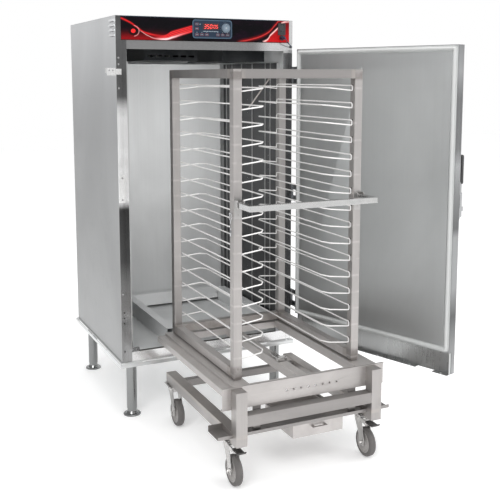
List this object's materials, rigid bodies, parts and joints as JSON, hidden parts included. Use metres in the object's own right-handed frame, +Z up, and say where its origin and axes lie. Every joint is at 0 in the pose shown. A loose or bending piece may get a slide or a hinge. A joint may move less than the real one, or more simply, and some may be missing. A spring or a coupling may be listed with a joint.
{
  "type": "roll-in insulated holding cabinet",
  "caption": "Insulated roll-in cabinet on legs with a hinged gasketed door, a wire-slide tray rack and the swivel-caster dolly that carries the rack to it.",
  "frame": {"origin": "on the floor, below the middle of the whole object with the door open and the dolly in front", "axes": "+Z up, +Y from the operator into the cabinet, +X to the right along the cabinet front"},
  "size_m": [1.3872, 1.8332, 1.98],
  "materials": {
    "stainless_outer": "brushed",
    "stainless_liner": "satin",
    "stainless_frame": "polished",
    "insulation": "matt fibre",
    "fascia_gloss": "gloss, printed",
    "controller_plastic": "satin",
    "display_glass": "gloss",
    "black_plastic": "satin",
    "cord_rubber": "matt",
    "dark_metal": "satin",
    "motor_paint": "satin",
    "blower_alloy": "satin",
    "heater_steel": "heat tinted",
    "zinc": "bright",
    "gasket_rubber": "matt",
    "latch_chrome": "polished",
    "rack_tube": "brushed",
    "rack_wire": "bright",
    "dolly_steel": "brushed",
    "wheel_grey": "matt"
  },
  "bodies": {
    "cabinet": {"cabinet_left_side": "stainless_outer", "cabinet_right_side": "stainless_outer", "cabinet_back": "stainless_outer", "cabinet_top": "stainless_outer", "cabinet_base": "stainless_outer", "insulation": "insulation", "inner_liner": "stainless_liner", "face_frame": "stainless_frame", "fascia_panel": "fascia_gloss", "controller_housing": "controller_plastic", "display_window": "display_glass", "fascia_fittings": "black_plastic", "probe_plug": "black_plastic", "probe_lead": "cord_rubber", "strike_and_keeper": "stainless_frame", "legs": "stainless_outer", "rear_baffle": "stainless_liner", "side_ducts": "dark_metal", "blower_housing": "dark_metal", "blower_motor": "motor_paint", "heater_element": "heater_steel", "floor_rails": "stainless_liner", "frame_hinge_leaves": "stainless_frame", "fasteners": "zinc"},
    "dial": {"selector_dial": "controller_plastic"},
    "rocker": {"power_rocker": "black_plastic"},
    "blower": {"blower_wheel": "blower_alloy"},
    "door": {"door_outer_skin": "stainless_outer", "door_core": "insulation", "door_inner_panel": "stainless_liner", "door_gasket": "gasket_rubber", "door_skirt": "stainless_outer", "door_hinge_leaves": "stainless_frame", "latch_body": "latch_chrome"},
    "latch_lever": {"latch_paddle": "latch_chrome", "latch_grip": "black_plastic"},
    "dolly": {"deck_frame": "dolly_steel", "dolly_front_panel": "dolly_steel", "dolly_uprights": "dolly_steel", "dolly_cross_members": "dolly_steel", "caster_mounts": "zinc"},
    "rack": {"rack_posts": "rack_tube", "rack_top_frame": "rack_tube", "rack_base_frame": "rack_tube", "wire_slides_left": "rack_wire", "wire_slides_right": "rack_wire", "handle_brackets": "rack_tube"},
    "handle": {"push_handle": "rack_tube"},
    "rack_latch": {"deck_latch": "zinc"},
    "pan": {"drip_pan": "dolly_steel"},
    "fork_front_left": {"caster_fork_front_left": "zinc"},
    "wheel_front_left": {"wheel_front_left": "wheel_grey"},
    "fork_front_right": {"caster_fork_front_right": "zinc"},
    "wheel_front_right": {"wheel_front_right": "wheel_grey"},
    "fork_rear_left": {"caster_fork_rear_left": "zinc"},
    "wheel_rear_left": {"wheel_rear_left": "wheel_grey"},
    "fork_rear_right": {"caster_fork_rear_right": "zinc"},
    "wheel_rear_right": {"wheel_rear_right": "wheel_grey"},
    "pedal_left": {"brake_pedal_left": "black_plastic"},
    "pedal_right": {"brake_pedal_right": "black_plastic"}
  },
  "joints": [
    {"name": "door_swing", "type": "hinge", "parent": "cabinet", "child": "door", "pos_m": [0.30336, -0.01342, 1.1], "axis": [0, 0, 1], "range_deg": [-109.3, 0]},
    {"name": "latch_pull", "type": "hinge", "parent": "door", "child": "latch_lever", "pos_m": [0.67644, -0.85728, 1.102], "axis": [-0.3338, 0.9426, 0], "range_deg": [0, 24], "stiffness_Nm_per_rad": 2},
    {"name": "dial_turn", "type": "hinge", "parent": "cabinet", "child": "dial", "pos_m": [-0.09264, 0.00558, 1.931], "axis": [0, 1, 0], "range_deg": [-150, 150]},
    {"name": "power_rock", "type": "hinge", "parent": "cabinet", "child": "rocker", "pos_m": [0.22236, 0.01508, 1.941], "axis": [1, 0, 0], "range_deg": [-8, 8]},
    {"name": "blower_spin", "type": "hinge", "parent": "cabinet", "child": "blower", "pos_m": [-0.33364, 0.37058, 1.81], "axis": [0, 0, 1], "continuous": true},
    {"name": "dolly_roll", "type": "slide", "parent": "cabinet", "child": "dolly", "axis": [-1, 0, 0], "range_m": [0, 1.19]},
    {"name": "rack_slide", "type": "slide", "parent": "dolly", "child": "rack", "axis": [0, 1, 0], "range_m": [0, 0.785]},
    {"name": "handle_fold", "type": "hinge", "parent": "rack", "child": "handle", "pos_m": [-0.09864, -0.79242, 1.178], "axis": [1, 0, 0], "range_deg": [0, 90]},
    {"name": "rack_latch_press", "type": "hinge", "parent": "dolly", "child": "rack_latch", "pos_m": [-0.09864, -0.61942, 0.436], "axis": [1, 0, 0], "range_deg": [0, 16], "stiffness_Nm_per_rad": 0.8},
    {"name": "pan_slide", "type": "slide", "parent": "dolly", "child": "pan", "axis": [0, -1, 0], "range_m": [0, 0.24]},
    {"name": "swivel_front_left", "type": "hinge", "parent": "dolly", "child": "fork_front_left", "pos_m": [-0.42364, -0.77942, 0.17], "axis": [0, 0, 1], "continuous": true},
    {"name": "spin_front_left", "type": "hinge", "parent": "fork_front_left", "child": "wheel_front_left", "pos_m": [-0.42364, -0.81942, 0.065], "axis": [1, 0, 0], "continuous": true},
    {"name": "swivel_front_right", "type": "hinge", "parent": "dolly", "child": "fork_front_right", "pos_m": [0.22636, -0.77942, 0.17], "axis": [0, 0, 1], "continuous": true},
    {"name": "spin_front_right", "type": "hinge", "parent": "fork_front_right", "child": "wheel_front_right", "pos_m": [0.22636, -0.81942, 0.065], "axis": [1, 0, 0], "continuous": true},
    {"name": "swivel_rear_left", "type": "hinge", "parent": "dolly", "child": "fork_rear_left", "pos_m": [-0.42364, -0.10442, 0.17], "axis": [0, 0, 1], "continuous": true},
    {"name": "spin_rear_left", "type": "hinge", "parent": "fork_rear_left", "child": "wheel_rear_left", "pos_m": [-0.42364, -0.14442, 0.065], "axis": [1, 0, 0], "continuous": true},
    {"name": "swivel_rear_right", "type": "hinge", "parent": "dolly", "child": "fork_rear_right", "pos_m": [0.22636, -0.10442, 0.17], "axis": [0, 0, 1], "continuous": true},
    {"name": "spin_rear_right", "type": "hinge", "parent": "fork_rear_right", "child": "wheel_rear_right", "pos_m": [0.22636, -0.14442, 0.065], "axis": [1, 0, 0], "continuous": true},
    {"name": "brake_left", "type": "hinge", "parent": "fork_front_left", "child": "pedal_left", "pos_m": [-0.42364, -0.83942, 0.1646], "axis": [1, 0, 0], "range_deg": [0, 16]},
    {"name": "brake_right", "type": "hinge", "parent": "fork_front_right", "child": "pedal_right", "pos_m": [0.22636, -0.83942, 0.1646], "axis": [1, 0, 0], "range_deg": [0, 16]}
  ],
  "couplings": [
    {"joint": "dolly_roll", "follows": "door_swing", "m_per_rad": -0.6}
  ]
}
